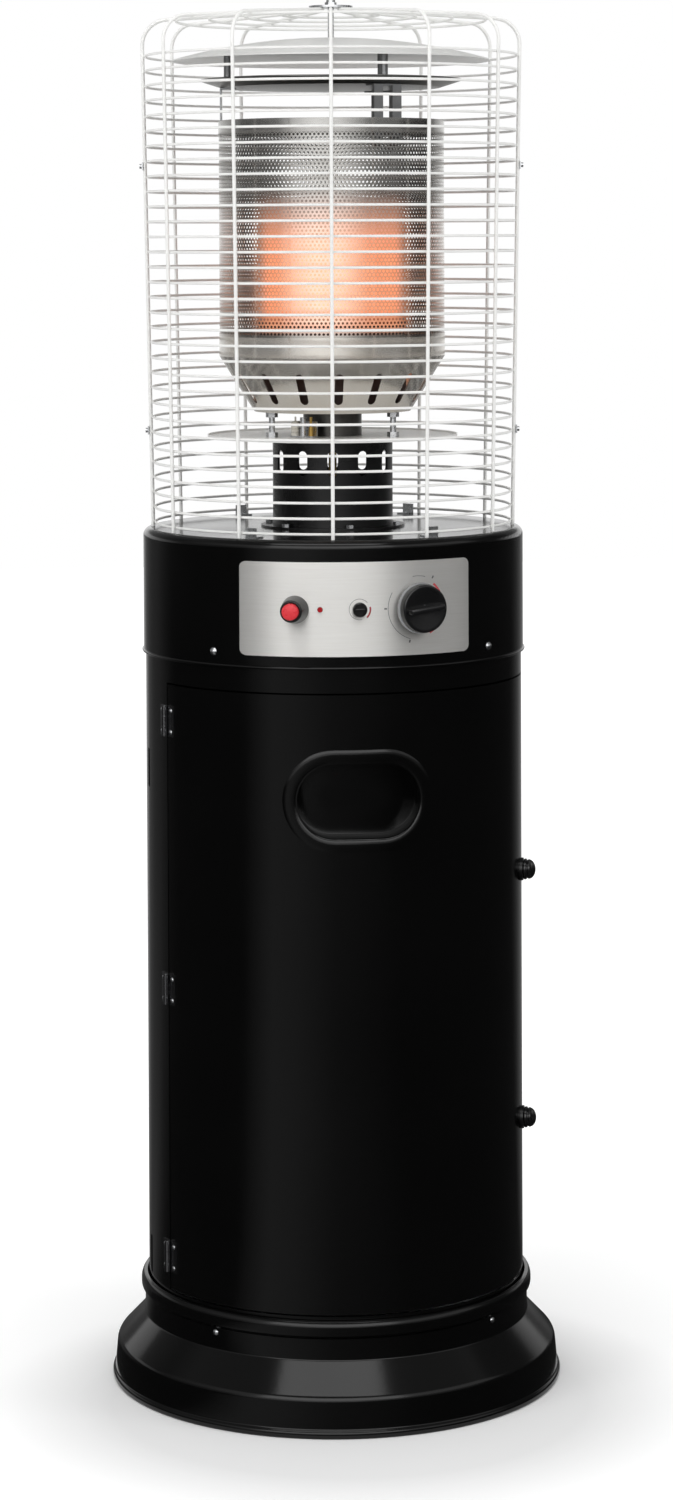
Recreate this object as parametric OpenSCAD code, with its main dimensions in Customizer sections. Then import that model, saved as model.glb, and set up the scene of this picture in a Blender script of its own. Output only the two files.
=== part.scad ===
// Free-standing gas patio heater: a flared base, a round bottle cabinet with a hinged door,
// a control head, and a burner with a perforated emitter inside a wire guard.
// The origin is on the floor under the middle of the base. +Z is up and -Y is the front.
// Angles around the body are counted from the front, positive towards +X.

/* [Base] */
// Radius of the rim that stands on the floor
base_r = 227; // [222:1:250]
// Height of the rolled rim
rim_h = 8; // [6:1:14]
// Width of the rolled rim
rim_w = 5; // [4:0.5:8]
// Radius at the shoulder of the base
shoulder_r = 218; // [208:1:219]
// Height of the shoulder
shoulder_z = 41; // [32:1:50]
// Height of the foot of the collar
collar_z = 66; // [58:1:74]
// Height of the collar
collar_h = 38; // [28:1:40]
// Sheet thickness of the base
base_t = 2; // [1.5:0.5:3]
// Radius of the bead around the collar's upper edge
bead_r = 2.6; // [2:0.2:3.4]
// Width of the ledge that carries the bottle shelf
ledge_w = 14; // [8:1:24]
// Thickness of the bottle shelf
shelf_t = 2; // [1:0.5:4]

/* [Cabinet and door] */
// Outer radius of the cabinet
cab_r = 189.5; // [182:0.5:196]
// Sheet thickness of the cabinet, the door and the head
sheet_t = 1.2; // [0.8:0.1:2]
// Height of the door's lower edge
door_z = 108; // [104:1:120]
// Height of the door's upper edge
door_top = 710; // [690:1:716]
// Angle of the hinge seam
hinge_angle = -67.5; // [-75:0.5:-60]
// Angle of the latch seam
latch_seam = 77.5; // [70:0.5:82]
// Gap between the door and the cabinet
seam_gap = 1.6; // [1.2:0.1:2.4]
// Width of one vent slot
vent_w = 9; // [5:1:12]
// Height of one vent slot
vent_h = 38; // [20:1:50]
// Number of vent slots in one row
vent_count = 5; // [2:1:7]
// Height of the middle of the upper vents
vent_upper_z = 619; // [560:1:660]
// Height of the middle of the lower vents
vent_lower_z = 128; // [126:1:180]

/* [Door handle] */
// Width of the handle dish over its flange
dish_w = 147; // [110:1:160]
// Height of the handle dish over its flange
dish_h = 99; // [70:1:108]
// Width of the flange around the dish
dish_flange = 14; // [5:1:18]
// Depth of the dish from the door's surface
dish_depth = 24; // [20:1:34]
// Wall of the dish
dish_t = 1.6; // [1:0.2:2.4]
// Height of the middle of the dish
dish_z = 607; // [560:1:640]

/* [Hinges and latches] */
// Height of the lowest hinge's middle
hinge_z = 141; // [130:1:180]
// Distance between hinges
hinge_pitch = 266; // [220:1:270]
// Height of one hinge
hinge_h = 30; // [24:1:40]
// Width of one hinge leaf
leaf_w = 14; // [10:1:18]
// Thickness of a hinge leaf
leaf_t = 1; // [0.8:0.1:1.6]
// Outer radius of a hinge barrel
barrel_r = 3; // [2.6:0.1:3.4]
// Radius of a hinge pin
pin_r = 1.5; // [1:0.1:1.8]
// Angle of the latches
latch_angle = 74; // [64:0.5:74.5]
// Height of the lower latch
latch_low_z = 262; // [220:1:300]
// Height of the upper latch
latch_high_z = 513; // [460:1:530]
// Radius of the latch knob
latch_knob_r = 10.5; // [8:0.5:11]
// How far a latch knob stands out
latch_out = 18; // [14:1:22]
// Radius of the latch stem
latch_stem_r = 4; // [3:0.2:5]
// Length of the latch tongue
tongue_l = 17; // [15:1:20]

/* [Control head] */
// Height of the head's lower edge
head_z = 733; // [724:1:740]
// Height of the head
head_h = 125; // [118:1:140]
// Radius of the head's upper edge
head_edge = 8; // [5:0.5:9]
// Overlap of the head over the cabinet
head_lap = 14; // [10:1:16]
// Width of the control panel
panel_w = 224; // [210:1:240]
// Height of the control panel
panel_h = 91; // [84:1:94]
// Thickness of the control panel
panel_t = 1; // [0.6:0.1:1.5]
// Corner radius of the control panel
panel_corner = 6; // [3:0.5:10]
// Height of the row of controls
controls_z = 792; // [788:1:794]
// Angle of the control knob
knob_angle = 17.5; // [15:0.5:20]
// Radius of the control knob's skirt
knob_r = 24.5; // [20:0.5:27]
// How far the control knob stands out
knob_out = 25; // [22:1:32]
// Radius of the valve stem
stem_r = 4; // [3:0.5:5]
// Travel of the knob when it is pushed in
knob_push = 4; // [2:0.5:5]
// Angle of the ignition button
button_angle = -18.5; // [-22:0.5:-16]
// Radius of the ignition button
button_r = 8; // [6:0.5:9]
// Travel of the ignition button
button_push = 5; // [3:0.5:6]
// Angle of the pilot lamp
lamp_angle = -11.3; // [-12:0.1:-9]
// Radius of the pilot lamp's lens
lamp_r = 2.4; // [1.5:0.1:3]
// Radius of the small slotted dial
dial_r = 7; // [5:0.5:9]

/* [Burner] */
// Outer radius of the burner post
post_r = 60.5; // [54:0.5:66]
// Wall of the burner post
post_t = 1.5; // [1:0.1:2.5]
// Height of the burner post in a guard of the standard height
post_h = 90; // [84:1:100]
// Number of air slots around the post
post_slots = 12; // [8:1:14]
// Width of one air slot
slot_w = 11; // [8:1:14]
// Height of one air slot
slot_h = 25; // [18:1:30]
// Radius of the lower heat shield
shield_r = 126; // [118:1:140]
// Distance between the heat shield and the emitter cup
neck_h = 25; // [20:1:32]
// Outer radius of the burner neck
neck_r = 29.5; // [24:0.5:34]
// Radius of the emitter screen
emitter_r = 114; // [106:0.5:118]
// Radius of the foot of the emitter cup
cup_r = 79; // [78:0.5:88]
// Height of the cone of the emitter cup
cone_h = 56; // [48:1:64]
// Height of the polished band above the cone
band_h = 20; // [14:1:26]
// Height of the perforated screen
screen_h = 216; // [180:1:222]
// Number of slots around the cone
cone_slots = 16; // [10:1:18]
// Radius of the burner core that glows behind the screen
core_r = 75; // [66:0.5:76]
// Height of the burner core
core_h = 216; // [160:1:230]
// Wall of the burner core
core_t = 2; // [1:0.2:3]

/* [Reflectors] */
// Height of the brackets above the emitter screen
bracket_h = 33; // [26:1:38]
// Radius of the lower reflector
low_reflector_r = 132; // [126:1:140]
// Radius of the upper reflector
top_reflector_r = 160; // [150:1:166]
// Rise of the upper reflector from its rim to its middle
top_reflector_rise = 22; // [16:1:26]
// Distance from the lower reflector to the rim of the upper one
reflector_gap = 28; // [24:1:32]

/* [Guard] */
// Radius of the uprights at the head
guard_foot_r = 181.5; // [176:0.5:182]
// Radius of the uprights at the shoulder
guard_top_r = 190; // [182:0.5:196]
// Height of the uprights up to the shoulder
guard_h = 484; // [482:1:500]
// Bend radius of the shoulder
guard_bend = 26; // [20:1:32]
// Slope of the spokes over the top
guard_slope = 3.5; // [2.5:0.5:5]
// Diameter of the uprights
upright_d = 3.6; // [3:0.2:4.4]
// Diameter of the rings
ring_d = 2.6; // [2:0.2:3.2]
// Distance between rings
ring_pitch = 15.1; // [13.5:0.1:18]

/* [Hidden] */
$fn = 64;
// Clearance between a curved skin and what lies on it
skin_gap = 0.1;
// Clearance of a part that is dropped into place
drop_gap = 0.3;
// Running clearance of a turning or sliding fit
run_gap = 0.05;
// Margin that lets a cut pass clear through a wall
cut = 5;
// Depth to which welded wires sink into each other
weld = 0.4;
// Rings of the guard are drawn as wire with six flats
ring_sides = 6;
ring_step = 360 / ring_sides;
// Guard and burner are turned by this angle from the front of the panel
burner_turn = -7.5;
collar_inner_r = cab_r + 2;
collar_r = collar_inner_r + base_t;
ledge_z = collar_z + base_t;
shelf_z = collar_z + 2 * base_t;
cab_z = shelf_z;
cab_top = head_z + head_lap;
head_inner_r = cab_r + 0.8;
head_r = head_inner_r + sheet_t;
head_top = head_z + head_h;
panel_in = head_r + skin_gap;
panel_out = panel_in + panel_t;
deck_top = cab_top + sheet_t;
screw_angles = [-45, 45, 135, 225];
hinge_axis_r = cab_r + skin_gap + barrel_r + 0.3;
hinge_zs = [for (i = [0:2]) hinge_z + i * hinge_pitch];
leaf_in = cab_r + skin_gap;
leaf_out = leaf_in + leaf_t;
knuckle_h = hinge_h / 3;
// Guard height that the post's height is given for: the burner rises and sinks with the guard
guard_std_h = 484;
post_len = post_h + guard_h - guard_std_h;
shield_z = head_top + post_len;
shield_t = 1.2;
cup_z = shield_z + shield_t + neck_h;
screen_z = cup_z + cone_h + band_h;
screen_top = screen_z + screen_h;
bracket_angles = [for (i = [0:2]) -97.5 + i * 120];
bracket_t = 1.5;
low_reflector_z = screen_top + bracket_h;
reflector_t = 1.2;
low_reflector_top = low_reflector_z + reflector_t;
top_reflector_z = low_reflector_z + reflector_gap;
stud_ring_r = emitter_r - 10;
guard_z = head_top + skin_gap;
guard_shoulder_z = guard_z + guard_h;
guard_lean = atan((guard_top_r - guard_foot_r) / guard_h);
spoke_foot_r = guard_top_r - guard_bend * cos(guard_lean) + guard_bend * sin(guard_slope);
spoke_foot_z = guard_shoulder_z + guard_bend * sin(guard_lean) + guard_bend * cos(guard_slope);
hub_r = 22;
hub_t = 2;
spoke_end_r = hub_r - 6;
spoke_l = (spoke_foot_r - spoke_end_r) / cos(guard_slope);
hub_z = spoke_foot_z + (spoke_foot_r - spoke_end_r) * tan(guard_slope) + upright_d / 2 + skin_gap;
rod_r = 3;
deck_hole_r = 80;
hose_way_r = 18;
// Angles from the seams to the first vent, and between vents
vent_from_hinge = 18;
vent_from_latch = 18;
vent_step = 10;
// Controls in front of the panel and behind it
stem_bore_r = stem_r + 1;
neck_hole_r = button_r + 2.4;
bezel_out = panel_out + 21;
button_top = bezel_out + button_push + 2;
bush_r = dial_r - 2;
spindle_r = 2.5;
knob_foot = panel_out + knob_push + 1.2;
knob_top = panel_out + knob_out;
knob_bore_l = 12;
valve_face = head_inner_r - 30;
valve_back = valve_face - 56;
valve_r = 19;
stem_seat = 16;
// Hose nipple under the valve's back, where the gas hose is pushed on, and its hexagon
nipple_r = 4.5;
nipple_l = 24;
nipple_in = valve_back + 12;
nipple_z = controls_z - valve_r;
hex_r = 8;
hex_h = 12;
pipe_r = 4;
// Sheet of the cup and the screen, and the upper reflector's dome
cup_t = 1.2;
screen_t = 1;
cap_radius = (pow(top_reflector_r, 2) + pow(top_reflector_rise, 2)) / (2 * top_reflector_rise);
cap_centre = top_reflector_z + top_reflector_rise - cap_radius;
stud_r = 4;
stud_top = cap_centre + sqrt(pow(cap_radius - reflector_t, 2) - pow(stud_ring_r + stud_r, 2)) - run_gap;
// Wires along the join of the guard's halves stand this far from its plane
join_shift = upright_d / 2 + 1.2;
first_ring = 5;
guard_rings = floor((guard_h - first_ring - 1) / ring_pitch);
crown_rings = [0.3, 0.52, 0.74, 0.94];

// Turns the children so that their +Z points outwards at an angle around the body
module radial(theta, z) {
  translate([0, 0, z])
    rotate([0, 0, theta])
      rotate([90, 0, 0])
        children();
}

// Curved plate between two radii, two heights and two angles
module arc_plate(r_in, r_out, z_low, z_high, from, to) {
  rotate([0, 0, from - 90])
    rotate_extrude(angle = to - from, $fn = 128)
      translate([r_in, z_low])
        square([r_out - r_in, z_high - z_low]);
}

module tube(r_out, r_in, z_low, z_high) {
  translate([0, 0, z_low])
    difference() {
      cylinder(r = r_out, h = z_high - z_low, $fn = 128);
      translate([0, 0, -cut])
        cylinder(r = r_in, h = z_high - z_low + 2 * cut, $fn = 128);
    }
}

module stadium(w, h) {
  square([w - h, h], center = true);
  for (side = [-1, 1])
    translate([side * (w - h) / 2, 0])
      circle(d = h);
}

module rounded_plate(w, h, r) {
  square([w - 2 * r, h], center = true);
  square([w, h - 2 * r], center = true);
  for (sx = [-1, 1], sy = [-1, 1])
    translate([sx * (w / 2 - r), sy * (h / 2 - r)])
      circle(r = r);
}

// Screw with a low cylindrical head and a round crown, standing on a skin of radius r
module pan_screw(theta, z, r, head_radius, head_out) {
  crown_r = (head_radius * head_radius + head_out * head_out) / (2 * head_out);
  radial(theta, z)
    translate([0, 0, r])
      intersection() {
        cylinder(r = head_radius, h = head_out);
        translate([0, 0, head_out - crown_r])
          sphere(r = crown_r);
      }
}

// Base, shelf and cabinet
module base() {
  color("black")
    rotate_extrude($fn = 128) {
      polygon([
        [base_r - rim_w, 0], [base_r - 1, 0], [base_r, 1], [base_r, rim_h - 2],
        [base_r - 2, rim_h], [shoulder_r, shoulder_z], [collar_r, collar_z],
        [collar_r, collar_z + collar_h], [collar_inner_r, collar_z + collar_h],
        [collar_inner_r, ledge_z + base_t], [collar_inner_r - ledge_w, ledge_z + base_t],
        [collar_inner_r - ledge_w, ledge_z], [collar_inner_r - base_t, ledge_z],
        [collar_inner_r - base_t, collar_z - base_t / 2], [shoulder_r - base_t, shoulder_z - base_t],
        [base_r - rim_w, rim_h - base_t]
      ]);
      translate([collar_r, collar_z + collar_h - bead_r])
        circle(r = bead_r);
    }
}

module bottle_shelf() {
  color("dimgray")
    translate([0, 0, shelf_z])
      cylinder(r = cab_r - sheet_t - drop_gap, h = shelf_t, $fn = 128);
}

function seam_half() = seam_gap / 2 / cab_r * 180 / PI;

module vent_row(z) {
  for (side = [0, 1], i = [0 : vent_count - 1])
    rotate([0, 0, side == 0 ? hinge_angle - vent_from_hinge - vent_step * i
      : latch_seam + vent_from_latch + vent_step * i])
      translate([-vent_w / 2, -cab_r - cut, z - vent_h / 2])
        cube([vent_w, 2 * cut, vent_h]);
}

module cabinet() {
  color("black")
    difference() {
      tube(cab_r, cab_r - sheet_t, cab_z, cab_top);
      arc_plate(cab_r - cut, cab_r + cut, door_z - seam_gap / 2, door_top + seam_gap / 2,
        hinge_angle - seam_half(), latch_seam + seam_half());
      vent_row(vent_upper_z);
      vent_row(vent_lower_z);
    }
}

// Plate between the bottle bay and the controls, with the way through for the hose
module deck_plate() {
  color("dimgray")
    translate([0, 0, cab_top])
      difference() {
        cylinder(r = cab_r, h = sheet_t, $fn = 128);
        translate([0, 0, -cut])
          cylinder(r = deck_hole_r, h = 2 * cut);
        rotate([0, 0, knob_angle])
          translate([0, -nipple_in, -cut])
            cylinder(r = hose_way_r, h = 2 * cut);
      }
}

// Door with its dish, hinges and latches
module door() {
  color("black")
    difference() {
      arc_plate(cab_r - sheet_t, cab_r, door_z + seam_gap / 2, door_top - seam_gap / 2,
        hinge_angle + seam_half(), latch_seam - seam_half());
      radial(0, dish_z)
        translate([0, 0, cab_r / 2])
          linear_extrude(cab_r)
            stadium(dish_w - 2 * dish_flange + 2 * drop_gap, dish_h - 2 * dish_flange + 2 * drop_gap);
      for (z = [latch_low_z, latch_high_z])
        radial(latch_angle, z)
          translate([0, 0, cab_r - cut])
            cylinder(r = latch_stem_r + run_gap, h = 2 * cut);
    }
}

module handle_dish() {
  color("black")
    difference() {
      union() {
        intersection() {
          tube(leaf_in + dish_t, leaf_in, dish_z - dish_h, dish_z + dish_h);
          radial(0, dish_z)
            translate([0, 0, cab_r / 2])
              linear_extrude(cab_r)
                stadium(dish_w, dish_h);
        }
        intersection() {
          translate([0, 0, dish_z - dish_h])
            cylinder(r = leaf_in + dish_t, h = 2 * dish_h, $fn = 128);
          radial(0, dish_z)
            translate([0, 0, cab_r - dish_depth])
              linear_extrude(2 * dish_depth)
                stadium(dish_w - 2 * dish_flange, dish_h - 2 * dish_flange);
        }
      }
      radial(0, dish_z)
        translate([0, 0, cab_r - dish_depth + dish_t])
          linear_extrude(2 * dish_depth)
            stadium(dish_w - 2 * dish_flange - 2 * dish_t, dish_h - 2 * dish_flange - 2 * dish_t);
    }
}

module on_hinge_axis(z) {
  rotate([0, 0, hinge_angle])
    translate([0, -hinge_axis_r, z])
      children();
}

// One knuckle of the barrel, counted from the bottom, grown by a clearance
module knuckle(z, i, grow) {
  on_hinge_axis(z - hinge_h / 2 + i * knuckle_h - grow / 2)
    cylinder(r = barrel_r + grow, h = knuckle_h + grow, $fn = 32);
}

module hinge_leaf(z, side, own, other) {
  leaf_deg = leaf_w / cab_r * 180 / PI;
  near_deg = 0.15;
  difference() {
    union() {
      arc_plate(leaf_in, leaf_out, z - hinge_h / 2, z + hinge_h / 2,
        hinge_angle + (side > 0 ? near_deg : -leaf_deg), hinge_angle + (side > 0 ? leaf_deg : -near_deg));
      for (i = own)
        knuckle(z, i, -drop_gap);
    }
    for (i = other)
      knuckle(z, i, drop_gap);
    on_hinge_axis(z - hinge_h)
      cylinder(r = pin_r + run_gap, h = 2 * hinge_h, $fn = 32);
  }
}

module cabinet_hinge_leaves() {
  color("black")
    for (z = hinge_zs)
      hinge_leaf(z, -1, [0, 2], [1]);
}

module door_hinge_leaves() {
  color("black")
    for (z = hinge_zs)
      hinge_leaf(z, 1, [1], [0, 2]);
}

module hinge_pins() {
  color("silver")
    for (z = hinge_zs)
      on_hinge_axis(z - hinge_h / 2)
        cylinder(r = pin_r, h = hinge_h, $fn = 32);
}

module hinge_screws(side) {
  screw_deg = leaf_w * 0.62 / cab_r * 180 / PI;
  color("silver")
    for (z = hinge_zs, end = [-1, 1])
      pan_screw(hinge_angle + side * screw_deg, z + end * hinge_h * 0.35, leaf_out + skin_gap, 2.4, 1.4);
}

module cabinet_hinge_screws() {
  hinge_screws(-1);
}

module door_hinge_screws() {
  hinge_screws(1);
}

// Turn latch: a winged knob outside, its stem, and a tongue inside that hangs down when released
module latch(z) {
  knob_foot = cab_r + 3;
  grip_w = latch_knob_r * 0.75;
  tongue_gap = 6;
  tongue_out = cab_r - sheet_t - tongue_gap;
  tongue_t = 2;
  color("black")
    radial(latch_angle, z) {
      translate([0, 0, knob_foot])
        cylinder(r = latch_knob_r, h = latch_out * 0.3);
      translate([0, 0, knob_foot])
        intersection() {
          cylinder(r = latch_knob_r - 0.5, h = latch_out - 3);
          translate([-grip_w / 2, -latch_knob_r, 0])
            cube([grip_w, 2 * latch_knob_r, latch_out]);
        }
      translate([0, 0, tongue_out - tongue_t])
        cylinder(r = latch_stem_r, h = knob_foot - tongue_out + tongue_t + 1);
      translate([-latch_stem_r, -tongue_l, tongue_out - tongue_t])
        cube([2 * latch_stem_r, tongue_l, tongue_t]);
    }
}

module upper_latch() {
  latch(latch_high_z);
}

module lower_latch() {
  latch(latch_low_z);
}

module latch_plates() {
  plate_r = latch_knob_r + 1;
  color("black")
    for (z = [latch_low_z, latch_high_z])
      difference() {
        radial(latch_angle, z)
          translate([0, 0, cab_r - cut])
            cylinder(r = plate_r, h = cut + 2.6);
        radial(latch_angle, z)
          translate([0, 0, cab_r - 2 * cut])
            cylinder(r = latch_stem_r + drop_gap, h = 4 * cut);
        translate([0, 0, z - 2 * plate_r])
          cylinder(r = cab_r + skin_gap, h = 4 * plate_r, $fn = 128);
      }
}

// Control head and its controls
module head_shell() {
  rotate_extrude($fn = 128)
    difference() {
      union() {
        translate([post_r - 25, head_z])
          square([head_r - head_edge - post_r + 25, head_h]);
        translate([post_r - 25, head_z])
          square([head_r - post_r + 25, head_h - head_edge]);
        translate([head_r - head_edge, head_top - head_edge])
          circle(r = head_edge);
        translate([head_r, head_z + 2])
          circle(r = 1.6);
      }
      translate([0, head_z - cut])
        square([head_inner_r - head_edge + sheet_t, head_h - sheet_t + cut]);
      translate([0, head_z - cut])
        square([head_inner_r, head_h - head_edge + cut]);
      translate([head_r - head_edge, head_top - head_edge])
        circle(r = head_edge - sheet_t);
    }
}

module head() {
  window_w = panel_w - 30;
  window_h = panel_h - 26;
  color("black")
    difference() {
      head_shell();
      radial(0, controls_z)
        translate([0, 0, head_r / 2])
          linear_extrude(head_r)
            rounded_plate(window_w, window_h, panel_corner);
    }
}

module head_screws() {
  color("silver")
    for (a = screw_angles)
      pan_screw(a, head_z + head_lap + 1, head_r + skin_gap, 4, 2.4);
}

module base_screws() {
  color("silver")
    for (a = screw_angles)
      pan_screw(a, collar_z + collar_h * 0.42, collar_r + skin_gap, 3.2, 1.8);
}

module panel_bore(theta, r) {
  radial(theta, controls_z)
    translate([0, 0, panel_in - 3 * cut])
      cylinder(r = r, h = 6 * cut);
}

module control_panel() {
  color("lightgray")
    difference() {
      intersection() {
        tube(panel_out, panel_in, controls_z - panel_h, controls_z + panel_h);
        radial(0, controls_z)
          translate([0, 0, head_r / 2])
            linear_extrude(head_r)
              rounded_plate(panel_w, panel_h, panel_corner);
      }
      panel_bore(knob_angle, stem_bore_r);
      panel_bore(button_angle, neck_hole_r + drop_gap);
      panel_bore(lamp_angle, lamp_r + drop_gap);
      panel_bore(0, bush_r + drop_gap);
    }
}

module control_knob() {
  skirt_h = 5;
  grip_w = 11;
  color("black")
    radial(knob_angle, controls_z)
      difference() {
        union() {
          translate([0, 0, knob_foot])
            cylinder(r = knob_r, h = skirt_h);
          translate([0, 0, knob_foot])
            cylinder(r = knob_r - 1, h = (knob_top - knob_foot) * 0.6);
          intersection() {
            translate([0, 0, knob_foot])
              cylinder(r = knob_r - 1, h = knob_top - knob_foot);
            translate([-knob_r, -grip_w / 2, knob_foot])
              cube([2 * knob_r, grip_w, knob_out]);
          }
        }
        translate([0, 0, knob_foot - cut])
          cylinder(r = stem_r + run_gap, h = cut + knob_bore_l);
      }
}

module valve_stem() {
  stem_back = valve_face - stem_seat;
  color("silver")
    radial(knob_angle, controls_z)
      translate([0, 0, stem_back])
        cylinder(r = stem_r, h = knob_foot + knob_bore_l - 1 - stem_back);
}

module gas_valve() {
  foot_w = 26;
  color("goldenrod")
    difference() {
      union() {
        radial(knob_angle, controls_z)
          translate([0, 0, valve_back])
            cylinder(r = valve_r, h = valve_face - valve_back);
        rotate([0, 0, knob_angle])
          translate([-foot_w / 2, -valve_face + 6, deck_top])
            cube([foot_w, foot_w, controls_z - deck_top]);
      }
      radial(knob_angle, controls_z)
        translate([0, 0, valve_face - stem_seat - knob_push - 1])
          cylinder(r = stem_r + run_gap, h = valve_face);
    }
}

module hose_nipple() {
  color("goldenrod")
    rotate([0, 0, knob_angle])
      translate([0, -nipple_in, 0]) {
        translate([0, 0, nipple_z - hex_h])
          difference() {
            cylinder(r = hex_r, h = hex_h + valve_r, $fn = 6);
            radial(0, hex_h + valve_r)
              translate([0, 0, -2 * hex_r])
                cylinder(r = valve_r + skin_gap, h = 4 * hex_r);
          }
        translate([0, 0, nipple_z - hex_h - nipple_l])
          cylinder(r = nipple_r, h = nipple_l);
      }
}

module supply_pipe() {
  pipe_top = shield_z + shield_t + neck_h - 6;
  color("goldenrod") {
    radial(knob_angle, controls_z)
      cylinder(r = pipe_r, h = valve_back - skin_gap);
    translate([0, 0, controls_z])
      sphere(r = pipe_r);
    translate([0, 0, controls_z])
      cylinder(r = pipe_r, h = pipe_top - controls_z);
  }
}

module igniter_housing() {
  body_back = panel_in - 44;
  color("black")
    radial(button_angle, controls_z)
      difference() {
        union() {
          translate([0, 0, body_back])
            cylinder(r = neck_hole_r, h = bezel_out - body_back);
          translate([0, 0, panel_out + 0.6])
            cylinder(r1 = button_r + 5.5, r2 = button_r + 2.6, h = bezel_out - panel_out - 0.6);
        }
        translate([0, 0, body_back + 3])
          cylinder(r = button_r + run_gap, h = bezel_out);
      }
}

module ignition_button() {
  button_foot = panel_in - 10;
  color("red")
    radial(button_angle, controls_z)
      translate([0, 0, button_foot])
        cylinder(r = button_r, h = button_top - button_foot);
}

module pilot_lamp() {
  lamp_back = 8;
  lamp_out = 1.5;
  color("red")
    radial(lamp_angle, controls_z)
      translate([0, 0, panel_in - lamp_back]) {
        cylinder(r = lamp_r, h = lamp_back + panel_t + lamp_out);
        cylinder(r = lamp_r + 1.5, h = lamp_back - 2);
      }
}

module slotted_dial() {
  dial_foot = panel_out + 1;
  dial_h = 5;
  dial_slot = 2;
  spindle_back = panel_in - 12;
  color("black")
    radial(0, controls_z)
      difference() {
        union() {
          translate([0, 0, dial_foot])
            cylinder(r = dial_r, h = dial_h);
          translate([0, 0, spindle_back])
            cylinder(r = spindle_r, h = dial_foot - spindle_back);
        }
        translate([-dial_r, -dial_slot / 2, dial_foot + dial_h - dial_slot])
          cube([2 * dial_r, dial_slot, cut]);
      }
}

module dial_bush() {
  bush_l = 18;
  bush_floor = 5;
  color("dimgray")
    radial(0, controls_z)
      translate([0, 0, panel_in - bush_l])
        difference() {
          union() {
            cylinder(r = bush_r, h = bush_l + panel_t);
            cylinder(r = dial_r + 2, h = bush_l - 4);
          }
          translate([0, 0, bush_floor])
            cylinder(r = spindle_r + run_gap, h = bush_l);
        }
}

module tilt_switch() {
  switch_size = [34, 24, 30];
  switch_place = [-130, -20];
  color("dimgray")
    translate([switch_place[0], switch_place[1], deck_top])
      cube(switch_size);
}

// Burner post, heat shield and burner
module burner_post() {
  foot_w = 12;
  slot_z = shield_z - 12 - slot_h / 2;
  color("black")
    difference() {
      rotate_extrude($fn = 128)
        translate([post_r - post_t, head_top]) {
          square([post_t, post_len]);
          square([post_t + foot_w, 2]);
        }
      for (i = [0 : post_slots - 1])
        radial(burner_turn + i * 360 / post_slots, slot_z)
          rotate([0, 0, 90])
            translate([0, 0, post_r - cut])
              linear_extrude(2 * cut)
                stadium(slot_h, slot_w);
    }
}

module post_bolts() {
  color("dimgray")
    for (i = [0:5])
      rotate([0, 0, burner_turn + 15 + i * 60])
        translate([0, -post_r - 6, head_top + 2])
          cylinder(r = 4, h = 3, $fn = 6);
}

module heat_shield() {
  lip = 3;
  color("lightgray")
    translate([0, 0, shield_z])
      difference() {
        union() {
          cylinder(r = shield_r, h = shield_t, $fn = 128);
          tube(shield_r, shield_r - shield_t, 0, lip);
        }
        translate([0, 0, -cut])
          cylinder(r = pipe_r + drop_gap, h = 3 * cut);
      }
}

module burner_neck() {
  color("gray")
    translate([0, 0, shield_z + shield_t])
      difference() {
        cylinder(r = neck_r, h = neck_h);
        translate([0, 0, -cut])
          cylinder(r = pipe_r + drop_gap, h = neck_h + 2 * cut);
      }
}

module burner_standoffs() {
  color("silver")
    for (i = [0:2])
      rotate([0, 0, burner_turn + 60 + i * 120])
        translate([0, -cup_r + 9, shield_z + shield_t]) {
          cylinder(r = 3, h = neck_h);
          cylinder(r = 6, h = 5, $fn = 6);
          translate([0, 0, neck_h - 5])
            cylinder(r = 6, h = 5, $fn = 6);
        }
}

module on_shield(theta, r) {
  rotate([0, 0, burner_turn + theta])
    translate([0, -r, shield_z + shield_t])
      children();
}

module pilot_burner() {
  color("silver")
    on_shield(-35, 50) {
      translate([-14, -4, 0])
        cube([28, 8, 1.6]);
      translate([-14, 2.4, 0])
        cube([28, 1.6, 16]);
      translate([0, -1, 0])
        cylinder(r = 3.2, h = 20);
    }
}

module ignition_electrode() {
  color("white")
    on_shield(-35, 50)
      translate([-9.5, -1, 1.6]) {
        cylinder(r = 2.6, h = 13);
        cylinder(r = 0.9, h = 19);
      }
}

module thermocouple() {
  color("goldenrod")
    on_shield(-35, 50)
      translate([9.5, -1, 1.6]) {
        cylinder(r = 2.4, h = 9);
        cylinder(r = 1.5, h = 19);
      }
}

module emitter_cup() {
  slot_len = cone_h * 0.55;
  color("silver")
    difference() {
      rotate_extrude($fn = 128)
        polygon([
          [neck_r - 8, cup_z], [cup_r, cup_z], [emitter_r, cup_z + cone_h],
          [emitter_r, screen_z], [emitter_r - cup_t, screen_z],
          [emitter_r - cup_t, cup_z + cone_h + cup_t / 2], [cup_r - cup_t / 2, cup_z + cup_t],
          [neck_r - 8, cup_z + cup_t]
        ]);
      for (i = [0 : cone_slots - 1])
        radial(burner_turn + 4 + i * 360 / cone_slots, cup_z + cone_h * 0.44)
          rotate([0, 0, 90])
            translate([0, 0, cup_r - 3 * cut])
              linear_extrude(10 * cut)
                stadium(slot_len, 8.5);
    }
}

module burner_head() {
  color("dimgray")
    translate([0, 0, cup_z + cup_t])
      difference() {
        cylinder(r = core_r, h = core_h, $fn = 128);
        translate([0, 0, -cut])
          cylinder(r = core_r - core_t, h = core_h - core_t + cut, $fn = 128);
      }
}

module emitter_screen() {
  color("silver")
    tube(emitter_r, emitter_r - screen_t, screen_z, screen_top);
}

module emitter_cap() {
  color("silver")
    translate([0, 0, screen_top - 6])
      cylinder(r = emitter_r - screen_t - bracket_t - 4 * drop_gap, h = 1.2, $fn = 128);
}

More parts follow.
